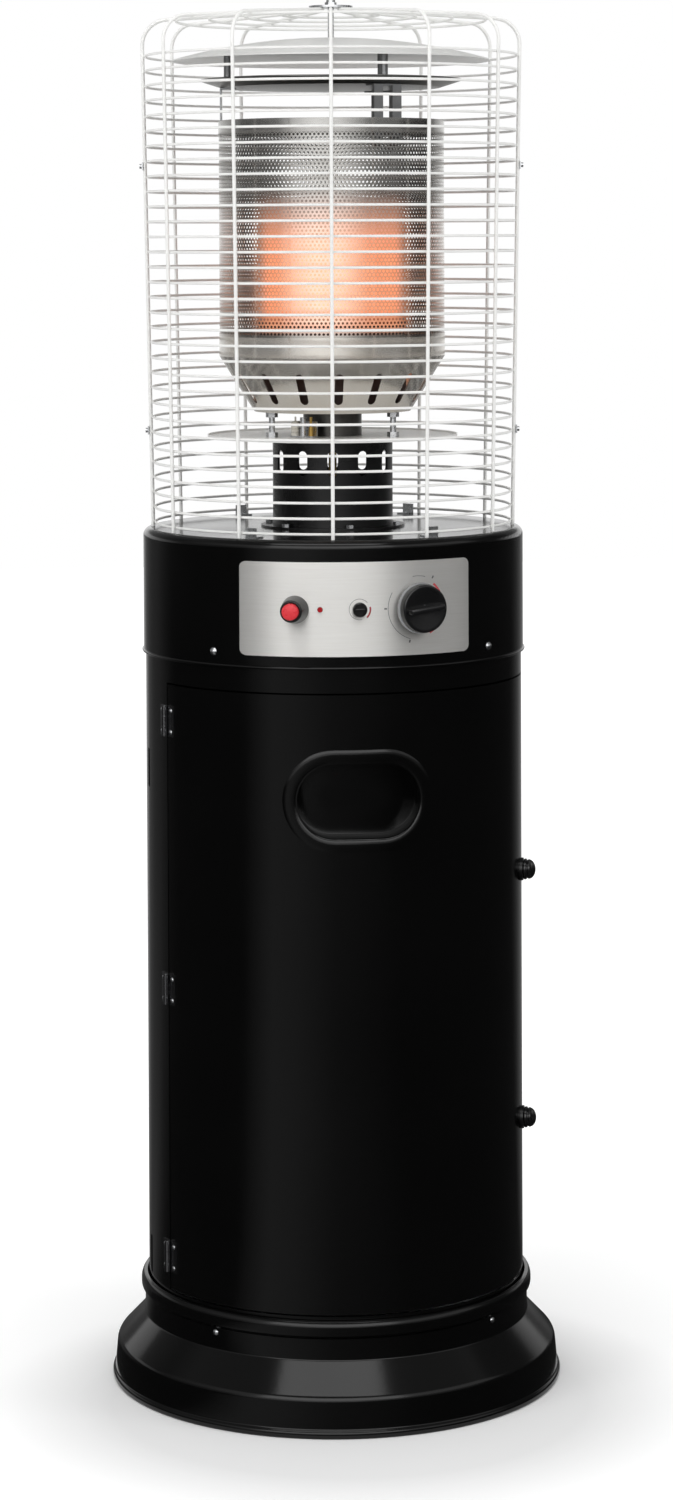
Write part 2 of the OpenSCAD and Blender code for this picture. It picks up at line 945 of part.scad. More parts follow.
// Reflectors over the emitter
module reflector_brackets() {
  leg_w = 10;
  leg_pitch = 21;
  leg_foot = 24;
  face = emitter_r - screen_t - drop_gap;
  inner = sqrt(face * face - pow((leg_pitch + leg_w) / 2, 2));
  color("gray")
    for (a = bracket_angles)
      rotate([0, 0, a]) {
        for (side = [-1, 1])
          translate([side * leg_pitch / 2 - leg_w / 2, -inner, screen_top - leg_foot])
            cube([leg_w, bracket_t, leg_foot + bracket_h]);
        translate([-(leg_pitch + leg_w) / 2, -inner, low_reflector_z - bracket_t])
          cube([leg_pitch + leg_w, 16, bracket_t]);
      }
}

module lower_reflector() {
  flat_r = low_reflector_r - 22;
  rise = 7;
  color("silver")
    rotate_extrude($fn = 128)
      polygon([
        [0, low_reflector_z], [flat_r, low_reflector_z], [low_reflector_r, low_reflector_z + rise],
        [low_reflector_r, low_reflector_top + rise], [flat_r, low_reflector_top], [0, low_reflector_top]
      ]);
}

module reflector_studs() {
  color("silver")
    for (a = bracket_angles)
      rotate([0, 0, a])
        translate([0, -stud_ring_r, low_reflector_top])
          cylinder(r = stud_r, h = stud_top - low_reflector_top);
}

module upper_reflector() {
  color("silver")
    intersection() {
      translate([0, 0, cap_centre])
        difference() {
          sphere(r = cap_radius, $fn = 256);
          sphere(r = cap_radius - reflector_t, $fn = 256);
        }
      translate([0, 0, top_reflector_z - 2 * cut])
        cylinder(r = top_reflector_r, h = 20 * cut, $fn = 128);
    }
}

module top_rod() {
  rod_z = top_reflector_z + top_reflector_rise + skin_gap;
  color("silver")
    translate([0, 0, rod_z])
      cylinder(r = rod_r, h = hub_z + hub_t + 4 - rod_z);
}

// Wire guard in two halves
function ring_r(z) = guard_foot_r + (z - guard_z) * tan(guard_lean) - (upright_d + ring_d) / 2 + weld;

module upright(theta, shift) {
  bend_y = guard_bend * cos(guard_lean) - guard_top_r;
  bend_z = guard_shoulder_z + guard_bend * sin(guard_lean);
  rotate([0, 0, theta])
    translate([shift, 0, 0]) {
      translate([0, -guard_foot_r, guard_z])
        rotate([guard_lean, 0, 0])
          cylinder(d = upright_d, h = guard_h / cos(guard_lean), $fn = 24);
      translate([0, bend_y, bend_z])
        rotate([0, 0, -90])
          rotate([90, 0, 0])
            rotate([0, 0, -guard_lean])
              rotate_extrude(angle = 90 - guard_slope + guard_lean, $fn = 64)
                translate([guard_bend, 0])
                  circle(d = upright_d, $fn = 24);
      translate([0, -spoke_foot_r, spoke_foot_z])
        rotate([guard_slope - 90, 0, 0])
          cylinder(d = upright_d, h = spoke_l, $fn = 24);
    }
}

module wire_arc(r, z, from, to) {
  rotate([0, 0, from - 90])
    rotate_extrude(angle = to - from, $fn = 96)
      translate([r, z])
        polygon([for (i = [0 : ring_sides - 1])
          ring_d / 2 * [cos(ring_step * (i + 0.5)), sin(ring_step * (i + 0.5))]]);
}

function join_angle(r) = 90 - asin(join_shift / r);

module guard_half(turn) {
  for (a = [-60, -30, 0, 30, 60])
    upright(turn + a, 0);
  for (side = [-1, 1])
    upright(turn + side * 90, -side * join_shift);
  for (i = [0 : guard_rings]) {
    z = guard_z + first_ring + i * ring_pitch;
    r = ring_r(z);
    wire_arc(r, z, turn - join_angle(r), turn + join_angle(r));
  }
  for (f = crown_rings) {
    r = f * spoke_foot_r;
    z = spoke_foot_z + (spoke_foot_r - r) * tan(guard_slope) - (upright_d + ring_d) / 2 + weld;
    wire_arc(r, z, turn - join_angle(r), turn + join_angle(r));
  }
}

module guard_front() {
  color("white")
    guard_half(burner_turn);
}

module guard_back() {
  color("white")
    guard_half(burner_turn + 180);
}

// Clips that hold the two halves of the guard together
module guard_clips() {
  clip_zs = [guard_z + guard_h * 0.2, guard_z + guard_h * 0.75];
  color("silver")
    for (side = [-90, 90], z = clip_zs) {
      r = guard_foot_r + (z - guard_z) * tan(guard_lean);
      radial(burner_turn + side, z)
        translate([0, 0, r + upright_d / 2 + skin_gap]) {
          translate([-6, -4, 0])
            cube([12, 8, 1.2]);
          translate([0, 0, 1.2])
            cylinder(r = 2.4, h = 2.4);
        }
    }
}

// Clips on the head that hold the feet of the guard
module guard_feet() {
  foot_in = upright_d / 2 + ring_d + 0.6;
  color("silver")
    for (a = [-30, 30, 150, 210])
      rotate([0, 0, burner_turn + a])
        translate([4, -guard_foot_r + foot_in, head_top]) {
          cube([12, 14, 1.2]);
          cube([12, 1.2, 10]);
        }
}

module guard_hub() {
  color("silver")
    tube(hub_r, rod_r + drop_gap, hub_z, hub_z + hub_t);
}

module top_nut() {
  nut_h = 6;
  color("silver")
    translate([0, 0, hub_z + hub_t])
      difference() {
        union() {
          cylinder(r = 6, h = nut_h * 0.6, $fn = 6);
          cylinder(r = 4.6, h = nut_h);
        }
        translate([0, 0, -cut])
          cylinder(r = rod_r + run_gap, h = cut + nut_h - 1);
      }
}

base();
bottle_shelf();
cabinet();
deck_plate();
door();
handle_dish();
cabinet_hinge_leaves();
door_hinge_leaves();
hinge_pins();
cabinet_hinge_screws();
door_hinge_screws();
upper_latch();
lower_latch();
latch_plates();
head();
head_screws();
base_screws();
control_panel();
control_knob();
valve_stem();
gas_valve();
hose_nipple();
supply_pipe();
igniter_housing();
ignition_button();
pilot_lamp();
slotted_dial();
dial_bush();
tilt_switch();
burner_post();
post_bolts();
heat_shield();
burner_neck();
burner_standoffs();
pilot_burner();
ignition_electrode();
thermocouple();
emitter_cup();
burner_head();
emitter_screen();
emitter_cap();
reflector_brackets();
lower_reflector();
reflector_studs();
upper_reflector();
top_rod();
guard_front();
guard_back();
guard_clips();
guard_feet();
guard_hub();
top_nut();
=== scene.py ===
"""Finishes, finer pieces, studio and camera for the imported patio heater."""
import math

import bmesh
import bpy
from mathutils import Matrix, Vector


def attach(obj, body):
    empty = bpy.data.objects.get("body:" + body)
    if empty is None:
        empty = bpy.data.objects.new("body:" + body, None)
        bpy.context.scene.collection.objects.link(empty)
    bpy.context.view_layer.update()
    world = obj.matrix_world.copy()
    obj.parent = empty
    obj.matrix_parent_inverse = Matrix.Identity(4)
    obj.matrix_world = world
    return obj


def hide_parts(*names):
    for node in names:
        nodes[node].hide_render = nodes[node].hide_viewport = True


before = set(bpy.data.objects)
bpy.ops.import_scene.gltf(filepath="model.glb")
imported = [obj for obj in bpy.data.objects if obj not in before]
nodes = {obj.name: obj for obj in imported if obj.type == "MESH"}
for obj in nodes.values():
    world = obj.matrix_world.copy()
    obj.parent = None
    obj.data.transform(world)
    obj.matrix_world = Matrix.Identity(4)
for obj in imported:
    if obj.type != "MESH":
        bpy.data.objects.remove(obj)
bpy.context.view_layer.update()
scene = bpy.context.scene
scene.view_settings.view_transform = "Standard"

# Camera, a little left of the panel's middle and level with the emitter
VIEW_TURN = math.radians(-7.5)
EYE_DISTANCE = 3.6776
EYE_HEIGHT = 1.150
EYE_PITCH = math.radians(1.71)
EYE_ROLL = math.radians(-0.25)
lens = bpy.data.cameras.new("photo_camera")
lens.lens = 87.476
lens.sensor_width = 36.0
lens.shift_x = 0.0029
lens.shift_y = -0.27
camera = bpy.data.objects.new("photo_camera", lens)
camera.location = (EYE_DISTANCE * math.sin(VIEW_TURN), -EYE_DISTANCE * math.cos(VIEW_TURN), EYE_HEIGHT)
camera.rotation_euler = (Matrix.Rotation(VIEW_TURN, 3, "Z") @ Matrix.Rotation(math.radians(90) - EYE_PITCH, 3, "X")
                         @ Matrix.Rotation(EYE_ROLL, 3, "Z")).to_euler()
scene.collection.objects.link(camera)
scene.camera = camera

# Sizes that the finer pieces share with the part's source, in metres, and angles from the front, in degrees
CABINET_R = 0.1895
SHEET_T = 0.0012
DISH_Z = 0.607
PANEL_OUT = 0.1926
CONTROLS_Z = 0.792
KNOB_ANGLE = 17.5
DIAL_ANGLE = 0
BUTTON_ANGLE = -18.5
LATCH_ANGLE = 74.0
LATCH_HEIGHTS = {"upper": 0.513, "lower": 0.262}
LATCH_PLATE_T = 0.003
BURNER_TURN = math.radians(-7.5)
EMITTER_R = 0.114
SCREEN_LOW = 1.0502
SCREEN_HIGH = 1.2662
SHIELD_TOP = 0.9492
PILOT_ANGLE = -35
CORE_R = 0.075
CORE_LOW = 0.9754
CORE_HIGH = 1.1914

# Height at which the burner's glow begins
GLOW_FOOT = 1.062


def linear(code):
    """Linear colour of an sRGB hex value."""
    shares = [int(code[i:i + 2], 16) / 255 for i in (1, 3, 5)]
    return tuple(c / 12.92 if c <= 0.04045 else ((c + 0.055) / 1.055) ** 2.4 for c in shares) + (1.0,)


def add(tree, kind, inputs=None, **settings):
    """Adds a node, with its settings, and fills or links its sockets."""
    made = tree.nodes.new("ShaderNode" + kind)
    for name, value in settings.items():
        setattr(made, name, value)
    for socket, value in (inputs or {}).items():
        if isinstance(value, bpy.types.NodeSocket):
            tree.links.new(value, made.inputs[socket])
        else:
            made.inputs[socket].default_value = value
    return made


def begin(name):
    """A new material, its node tree and its Object coordinates."""
    material = bpy.data.materials.new(name)
    material.use_nodes = True
    tree = material.node_tree
    tree.nodes.clear()
    return material, tree, add(tree, "TexCoord").outputs["Object"]


def complete(tree, inputs):
    """Ends a material with its shader."""
    shader = add(tree, "BsdfPrincipled", inputs)
    add(tree, "OutputMaterial", {"Surface": shader.outputs[0]})


def noise(tree, place, scale, detail=2.0):
    """Cloudy value with about so many clouds in a metre."""
    return add(tree, "TexNoise", {"Vector": place, "Scale": scale, "Detail": detail}).outputs[0]


def blend(tree, share, dark, pale):
    """Colour between two hex tones, by a share."""
    return add(tree, "Mix", {0: share, 6: linear(dark), 7: linear(pale)}, data_type="RGBA").outputs[2]


def spread(tree, value, low, high, start=0.0, end=1.0, soft=False):
    """Goes from low to high while a value goes from start to end, softly or in a straight line."""
    return add(tree, "MapRange", {"Value": value, "From Min": start, "From Max": end, "To Min": low, "To Max": high},
               interpolation_type="SMOOTHSTEP" if soft else "LINEAR").outputs[0]


def reckon(tree, operation, *values):
    """Result of an operation on sockets or numbers."""
    return add(tree, "Math", dict(enumerate(values)), operation=operation).outputs[0]


def relief(tree, height, strength, distance):
    """Normal of a fine relief, its depth in metres."""
    return add(tree, "Bump", {"Height": height, "Strength": strength, "Distance": distance}).outputs[0]


def burner_spot(tree, place):
    """Coordinates turned with the burner: X across its front and Z up."""
    level = add(tree, "Mapping", {"Vector": place, "Rotation": (0.0, 0.0, -BURNER_TURN)})
    return add(tree, "SeparateXYZ", {"Vector": level.outputs[0]}).outputs


def stoved_black_enamel():
    """Sprayed and stoved enamel: deep black gloss over a faint orange peel, drawn at 5 mm to show."""
    material, tree, place = begin("stoved_black_enamel")
    peel = noise(tree, place, 200.0)
    haze = noise(tree, place, 7.0, detail=3.0)
    complete(tree, {"Base Color": blend(tree, haze, "#040404", "#070707"),
                    "Roughness": spread(tree, haze, 0.12, 0.18, start=0.3, end=0.7),
                    "Normal": relief(tree, peel, 0.05, 0.0005), "Specular IOR Level": 0.35})
    return material


def satin_black_paint():
    """Heat-proof satin paint on the post: softer shine, fine sprayed grain of about 2 mm."""
    material, tree, place = begin("satin_black_paint")
    grain = noise(tree, place, 500.0)
    haze = noise(tree, place, 14.0, detail=3.0)
    complete(tree, {"Base Color": blend(tree, haze, "#080809", "#0f0f10"),
                    "Roughness": spread(tree, haze, 0.22, 0.34),
                    "Normal": relief(tree, grain, 0.08, 0.0004), "Specular IOR Level": 0.45})
    return material


def moulded_abs(name, dark, pale):
    """Moulded ABS of the knobs: half gloss with a spark-eroded grain of about 1 mm."""
    material, tree, place = begin(name)
    grain = add(tree, "TexVoronoi", {"Vector": place, "Scale": 900.0}).outputs["Distance"]
    wear = noise(tree, place, 60.0, detail=3.0)
    complete(tree, {"Base Color": blend(tree, wear, dark, pale), "Roughness": spread(tree, wear, 0.14, 0.26),
                    "Normal": relief(tree, grain, 0.05, 0.0003)})
    return material


def rolled_steel(name, dark, pale, rough_low, rough_high):
    """Rolled steel of the hinges, neck, brackets and deck: metal with rubbed, brighter clouds of about 5 mm."""
    material, tree, place = begin(name)
    rub = noise(tree, place, 200.0, detail=3.0)
    complete(tree, {"Base Color": blend(tree, rub, dark, pale),
                    "Roughness": spread(tree, rub, rough_low, rough_high), "Metallic": 1.0})
    return material


def bright_zinc():
    """Zinc-plated steel of screws and pins: bright, with a cloudy bluish bloom of a few millimetres."""
    material, tree, place = begin("bright_zinc_plate")
    bloom = noise(tree, place, 350.0, detail=4.0)
    complete(tree, {"Base Color": blend(tree, bloom, "#c3c5c8", "#d6d7d8"),
                    "Roughness": spread(tree, bloom, 0.22, 0.34), "Metallic": 1.0})
    return material


def galvanised_sheet():
    """Hot-dip galvanised sheet inside the cabinet: grey spangles about 12 mm across."""
    material, tree, place = begin("galvanised_sheet")
    spangle = add(tree, "TexVoronoi", {"Vector": place, "Scale": 85.0}).outputs
    complete(tree, {"Base Color": blend(tree, spangle["Color"], "#8b8e90", "#b4b6b7"),
                    "Roughness": spread(tree, spangle["Distance"], 0.32, 0.55), "Metallic": 0.9})
    return material


def cast_brass():
    """Brass of the valve and pipe: warm, with darker cast mottling of about 5 mm."""
    material, tree, place = begin("cast_brass")
    mottle = noise(tree, place, 200.0, detail=4.0)
    complete(tree, {"Base Color": blend(tree, mottle, "#9c7a3c", "#d2b06a"),
                    "Roughness": spread(tree, mottle, 0.25, 0.45), "Metallic": 1.0})
    return material


def red_abs():
    """Moulded red ABS of the button: even gloss with faint flow clouds of about 4 mm."""
    material, tree, place = begin("moulded_red_abs")
    flow = noise(tree, place, 260.0)
    complete(tree, {"Base Color": blend(tree, flow, "#cf1f2b", "#e23a43"),
                    "Roughness": spread(tree, flow, 0.22, 0.34)})
    return material


def red_lens():
    """Tinted acrylic lens of the lamp: dark red and very smooth, with a faint ripple."""
    material, tree, place = begin("red_acrylic_lens")
    ripple = noise(tree, place, 700.0)
    complete(tree, {"Base Color": blend(tree, ripple, "#8e1018", "#b51a22"), "Roughness": 0.12,
                    "Normal": relief(tree, ripple, 0.1, 0.0002)})
    return material


def plated_wire():
    """Guard wire drawn pale and half matt in place of its shiny plating, a painted reflection of the white studio
    round it, duller in patches of some centimetres.
    """
    material, tree, place = begin("plated_wire_painted_reflection")
    patch = noise(tree, place, 40.0, detail=4.0)
    # Painted reflection: a near-white matt colour stands in for the bright surroundings that the plated wire mirrors.
    complete(tree, {"Base Color": blend(tree, patch, "#eaeae8", "#f6f6f4"),
                    "Roughness": spread(tree, patch, 0.36, 0.5)})
    return material


def perforated_stainless():
    """Perforated stainless sheet of the emitter: half-matt steel with a straw heat tint, strongest at its foot,
    and an orange heat glow in a zone that faces the front, and another that faces the back."""
    material, tree, place = begin("heat_tinted_stainless")
    cloud = noise(tree, place, 22.0, detail=4.0)
    spot = burner_spot(tree, place)
    heat = spread(tree, spot["Z"], 0.35, 0.0, start=SCREEN_LOW, end=SCREEN_HIGH)
    tint = reckon(tree, "MULTIPLY", heat, cloud)
    across = reckon(tree, "ABSOLUTE", spot["X"])
    zone = spread(tree, across, 1.0, 0.02, start=0.058, end=0.085, soft=True)
    top = spread(tree, spot["Z"], 1.0, 0.0, start=1.145, end=1.2, soft=True)
    foot = spread(tree, spot["Z"], 0.0, 1.0, start=SCREEN_LOW + 0.002, end=GLOW_FOOT)
    span = reckon(tree, "MULTIPLY", top, foot)
    glow = reckon(tree, "MULTIPLY", span, zone)
    full_power = 0.62
    complete(tree, {"Base Color": blend(tree, tint, "#b4b3b0", "#ac9072"),
                    "Roughness": spread(tree, cloud, 0.1, 0.2), "Metallic": 1.0,
                    "Emission Color": linear("#ff9a62"),
                    "Emission Strength": reckon(tree, "MULTIPLY", glow, full_power)})
    return material


def polished_stainless():
    """Polished pressed stainless of the cup: mirror-like, with a slow pressing wave and faint straw tint."""
    material, tree, place = begin("polished_stainless")
    wave = noise(tree, place, 28.0)
    smear = noise(tree, place, 30.0)
    complete(tree, {"Base Color": blend(tree, wave, "#d8d6d2", "#c6bfb3"),
                    "Roughness": spread(tree, smear, 0.12, 0.18), "Metallic": 0.75,
                    "Normal": relief(tree, wave, 0.06, 0.005)})
    return material


def brushed_stainless():
    """Brushed stainless of the panel: lines run round the head, drawn about 1 mm apart to show."""
    material, tree, place = begin("brushed_stainless")
    along = add(tree, "Mapping", {"Vector": place, "Scale": (25.0, 25.0, 1000.0)})
    lines = noise(tree, along.outputs[0], 1.0, detail=3.0)
    lie = add(tree, "Tangent", direction_type="RADIAL", axis="Z")
    complete(tree, {"Base Color": blend(tree, lines, "#eeece8", "#faf9f6"),
                    "Roughness": spread(tree, lines, 0.46, 0.54), "Metallic": 0.85,
                    "Normal": relief(tree, lines, 0.06, 0.0003), "Tangent": lie.outputs[0], "Anisotropic": 0.95,
                    "Anisotropic Rotation": 0.25})
    return material


def glazed_ceramic():
    """Glazed insulator of the electrode: white gloss with faint specks under the glaze."""
    material, tree, place = begin("glazed_ceramic")
    speck = noise(tree, place, 1200.0)
    complete(tree, {"Base Color": blend(tree, speck, "#d9d4c8", "#f3f0e8"),
                    "Roughness": spread(tree, speck, 0.12, 0.22)})
    return material


def spun_aluminium(name, dark, pale, metal):
    """Spun aluminium of the reflectors and shield: rings about 3 mm apart round the middle, half matt."""
    material, tree, place = begin(name)
    rings = add(tree, "TexWave", {"Vector": place, "Scale": 100.0, "Distortion": 0.6, "Detail": 2.0},
                wave_type="RINGS", rings_direction="Z").outputs[1]
    complete(tree, {"Base Color": blend(tree, rings, dark, pale), "Roughness": spread(tree, rings, 0.3, 0.42),
                    "Metallic": metal, "Normal": relief(tree, rings, 0.05, 0.0003)})
    return material


def glowing_burner():
    """Burner core at working heat: orange glow on the front and the back, palest near the middle, on a scaled dark
    steel;
    at the top and the sides it turns to a painted grey light that stands in for the lit screen round it."""
    material, tree, place = begin("glowing_burner_steel")
    spot = burner_spot(tree, place)
    from_pale = reckon(tree, "ABSOLUTE", reckon(tree, "ADD", spot["X"], 0.008))
    pale = spread(tree, from_pale, 1.0, 0.0, start=0.012, end=0.052, soft=True)
    orange = blend(tree, pale, "#ff9468", "#ffc39c")
    across = reckon(tree, "ABSOLUTE", spot["X"])
    side = spread(tree, across, 1.0, 0.0, start=0.062, end=0.0755, soft=True)
    foot = spread(tree, spot["Z"], 0.0, 1.0, start=GLOW_FOOT, end=1.078)
    top = spread(tree, spot["Z"], 1.0, 0.0, start=1.13, end=CORE_HIGH - 0.003, soft=True)
    flicker = noise(tree, place, 90.0, detail=3.0)
    lively = spread(tree, flicker, 0.95, 1.5)
    patch = reckon(tree, "MULTIPLY", top, side)
    # Painted light: outside the orange patch the core glows grey at half strength, standing in for the lit inside of
    # the screen.
    orange_and_painted_grey = add(tree, "Mix", {0: patch, 6: linear("#b3a39b"), 7: orange}, data_type="RGBA").outputs[2]
    fall = spread(tree, patch, 0.5, 1.0)
    span = reckon(tree, "MULTIPLY", fall, foot)
    complete(tree, {"Base Color": blend(tree, flicker, "#2c2320", "#4a3c36"), "Roughness": 0.6,
                    "Emission Color": orange_and_painted_grey, "Emission Strength": reckon(tree, "MULTIPLY", span, lively)})
    return material


def printed_ink(name, dark, pale):
    """Screen-printed ink of the dial marks: flat colour, thin in places by about a millimetre."""
    material, tree, place = begin(name)
    thin = noise(tree, place, 900.0)
    complete(tree, {"Base Color": blend(tree, thin, dark, pale), "Roughness": 0.5})
    return material


ENAMEL = stoved_black_enamel()
SATIN = satin_black_paint()
ABS = moulded_abs("moulded_black_abs", "#0e0e0f", "#171718")
GREY_ABS = moulded_abs("moulded_grey_abs", "#7c7d7f", "#8d8e90")
HINGE_STEEL = rolled_steel("blackened_hinge_steel", "#7c7c7e", "#909092", 0.16, 0.26)
NECK_STEEL = rolled_steel("scaled_neck_steel", "#4a4846", "#62605d", 0.28, 0.42)
BRACKET_STEEL = rolled_steel("mill_bracket_steel", "#8c8d8e", "#9c9d9e", 0.28, 0.42)
DECK_STEEL = rolled_steel("burnished_deck_steel", "#8f9091", "#9fa0a1", 0.07, 0.13)
ZINC = bright_zinc()
GALVANISED = galvanised_sheet()
BRASS = cast_brass()
RED = red_abs()
LENS = red_lens()
WIRE = plated_wire()
PERFORATED = perforated_stainless()
POLISHED = polished_stainless()
BRUSHED = brushed_stainless()
CERAMIC = glazed_ceramic()
SPUN = spun_aluminium("spun_aluminium", "#e2e2e0", "#eeeeec", 0.2)
# Painted shade: a darker, fully metallic copy of the spun aluminium for the lower reflector, whose underside lies in
# shade.
SHADED_SPUN = spun_aluminium("shaded_spun_aluminium", "#858583", "#969694", 1.0)
# Painted light: a paler, almost matt copy of the spun aluminium lifts the heat shield, which sits in the cup's shade.
LIT_SPUN = spun_aluminium("lit_spun_aluminium", "#ededeb", "#f6f6f4", 0.05)
GLOW = glowing_burner()
RED_INK = printed_ink("red_dial_ink", "#b8323a", "#cf4b50")
GREY_INK = printed_ink("grey_dial_ink", "#4c4c4d", "#68686a")

FINISHES = {
    ENAMEL: ("base", "cabinet", "door", "handle_dish", "head"),
    SATIN: ("latch_plates", "burner_post"),
    HINGE_STEEL: ("cabinet_hinge_leaves", "door_hinge_leaves"),
    NECK_STEEL: ("burner_neck",),
    BRACKET_STEEL: ("reflector_brackets", "reflector_studs"),
    ABS: ("upper_latch", "lower_latch", "control_knob", "igniter_housing", "slotted_dial", "tilt_switch"),
    ZINC: ("hinge_pins", "cabinet_hinge_screws", "door_hinge_screws", "head_screws", "base_screws", "valve_stem",
           "dial_bush", "post_bolts", "burner_standoffs", "pilot_burner", "top_rod",
           "guard_clips", "guard_feet", "guard_hub", "top_nut"),
    GALVANISED: ("bottle_shelf",),
    DECK_STEEL: ("deck_plate",),
    BRASS: ("gas_valve", "hose_nipple", "supply_pipe", "thermocouple"),
    RED: ("ignition_button",),
    LENS: ("pilot_lamp",),
    WIRE: ("guard_front", "guard_back"),
    PERFORATED: ("emitter_screen", "emitter_cap"),
    POLISHED: ("emitter_cup",),
    BRUSHED: ("control_panel",),
    CERAMIC: ("ignition_electrode",),
    SPUN: ("upper_reflector",),
    SHADED_SPUN: ("lower_reflector",),
    LIT_SPUN: ("heat_shield",),
    GLOW: ("burner_head",),
}
for finish, members in FINISHES.items():
    for member in members:
        nodes[member].data.materials.clear()
        nodes[member].data.materials.append(finish)


def turn(bm, profile, steps=128, closed=True, rounding=None):
    """Spins a profile of radius and height round Z, with some of its corners rounded first."""
    verts = [bm.verts.new((r, 0.0, z)) for r, z in profile]
    ends = verts[1:] + verts[:1] if closed else verts[1:]
    for pair in zip(verts, ends):
        bm.edges.new(pair)
    for corner, radius in (rounding or {}).items():
        bmesh.ops.bevel(bm, geom=[verts[corner]], offset=radius, offset_type="OFFSET", segments=5, profile=0.5,
                        affect="VERTICES", material=-1)
    line = [e for e in bm.edges if not e.link_faces]
    points = list(dict.fromkeys(v for e in line for v in e.verts))
    bmesh.ops.spin(bm, geom=points + line, cent=(0, 0, 0), axis=(0, 0, 1), angle=2 * math.pi, steps=steps,
                   use_merge=True)


def face_out(bm, angle, height=CONTROLS_Z):
    """Puts a mesh at a height, with its +Z pointing outwards at an angle from the front."""
    place = (Matrix.Translation((0, 0, height)) @ Matrix.Rotation(math.radians(angle), 4, "Z")
             @ Matrix.Rotation(math.radians(90), 4, "X"))
    bmesh.ops.transform(bm, matrix=place, verts=bm.verts[:])


def object_of(bm, name, material):
    """Makes an object of a mesh and puts it in the scene."""
    mesh = bpy.data.meshes.new(name)
    bm.to_mesh(mesh)
    bm.free()
    mesh.materials.append(material)
    made = bpy.data.objects.new(name, mesh)
    scene.collection.objects.link(made)
    return made


def piece(bm, name, material, body="heater_frame", stands_for=(), crease=40):
    """Makes a piece of a mesh, closes its seams and lets it ride on a body."""
    bmesh.ops.remove_doubles(bm, verts=bm.verts[:], dist=1e-6)
    bmesh.ops.recalc_face_normals(bm, faces=bm.faces[:])
    made = object_of(bm, name, material)
    made.data.shade_smooth()
    made.data.set_sharp_from_angle(angle=math.radians(crease))
    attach(made, body)
    if stands_for:
        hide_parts(*stands_for)


def repeat(bm, geom, shift):
    """Copies a part of a mesh and moves the copy."""
    copy = bmesh.ops.duplicate(bm, geom=geom)["geom"]
    bmesh.ops.translate(bm, verts=[v for v in copy if isinstance(v, bmesh.types.BMVert)], vec=shift)


def emitter_mesh():
    """Perforated screen: six-sided holes 4.2 mm apart, with a plain band at the top and a rim at the foot."""
    around, wall, sheet, top_band, rim = 170, 0.0009, 0.001, 0.014, 0.0025
    radius = EMITTER_R - sheet / 2
    pitch = 2 * math.pi * radius / around
    side = pitch / math.sqrt(3)
    row_gap = 1.5 * side
    rows = int((SCREEN_HIGH - SCREEN_LOW - top_band) / row_gap) + 1
    bm = bmesh.new()
    bmesh.ops.create_circle(bm, cap_ends=True, segments=6, radius=side)
    hole = bm.faces[:]
    bmesh.ops.inset_individual(bm, faces=hole, thickness=wall, use_even_offset=True)
    bmesh.ops.delete(bm, geom=hole, context="FACES_ONLY")
    cell = bm.verts[:] + bm.edges[:] + bm.faces[:]
    for column in range(1, around):
        repeat(bm, cell, (column * pitch, 0, 0))
    row = bm.verts[:] + bm.edges[:] + bm.faces[:]
    for level in range(1, rows):
        repeat(bm, row, (level % 2 * pitch / 2, level * row_gap, 0))
    for v in bm.verts:
        angle = v.co.x / radius
        v.co = (radius * math.sin(angle), -radius * math.cos(angle), SCREEN_LOW + v.co.y)
    bmesh.ops.remove_doubles(bm, verts=bm.verts[:], dist=pitch * 0.05)
    inner = EMITTER_R - sheet
    for low, high in ((SCREEN_LOW, SCREEN_LOW + rim), (SCREEN_HIGH - top_band, SCREEN_HIGH)):
        turn(bm, [(EMITTER_R, low), (EMITTER_R, high), (inner, high), (inner, low)])
    piece(bm, "emitter_mesh", PERFORATED, stands_for=("emitter_screen",))


def burner_core():
    """Burner core: a closed tube with raised hoops and a domed top."""
    bm = bmesh.new()
    hoop_gap = 0.02
    hoops = [CORE_LOW + hoop_gap * i for i in range(1, 10)]
    wall = CORE_R - 0.0005
    profile = [(0.0, CORE_HIGH), (CORE_R - 0.012, CORE_HIGH - 0.003), (CORE_R - 0.003, CORE_HIGH - 0.012)]
    for z in reversed(hoops):
        profile += [(wall, z + 0.004), (CORE_R, z + 0.002), (CORE_R, z - 0.002), (wall, z - 0.004)]
    profile += [(wall, CORE_LOW), (0.0, CORE_LOW)]
    turn(bm, profile, steps=96, closed=False)
    piece(bm, "burner_core", GLOW, stands_for=("burner_head",))


def base_shell():
    """Flared base: rolled rim, rounded shoulder, sloping top, collar and bead."""
    bm = bmesh.new()
    profile = [(0.2195, 0.0), (0.227, 0.0), (0.227, 0.0062), (0.2243, 0.0082), (0.2217, 0.0372), (0.1938, 0.066),
               (0.1935, 0.087), (0.1974, 0.0892), (0.1974, 0.1008), (0.1945, 0.104), (0.1915, 0.104),
               (0.1915, 0.07), (0.1775, 0.07), (0.1775, 0.068), (0.1895, 0.068), (0.1895, 0.065), (0.2192, 0.0375),
               (0.2212, 0.0065)]
    turn(bm, profile, steps=160, rounding={1: 0.002, 2: 0.002, 3: 0.0012, 4: 0.0035, 5: 0.001, 6: 0.001, 7: 0.0035,
                                           8: 0.0035, 9: 0.001})
    piece(bm, "base_shell", ENAMEL, stands_for=("base",), crease=50)


def stadium_loop(bm, width, height, depth):
    """Oval loop on the door's skin, moved in by a depth."""
    half, bend = (width - height) / 2, height / 2
    bend_steps, flat_steps = 24, 12
    angles = [math.radians(180 / bend_steps * i - 90) for i in range(bend_steps)]
    points = [(half + bend * math.cos(a), bend * math.sin(a)) for a in angles]
    points += [(half - 2 * half * i / flat_steps, bend) for i in range(flat_steps)]
    points += [(-x, -z) for x, z in points]
    verts = [bm.verts.new((x, -math.sqrt(CABINET_R ** 2 - x * x) + depth, DISH_Z + z)) for x, z in points]
    return [bm.edges.new(pair) for pair in zip(verts, verts[1:] + verts[:1])]


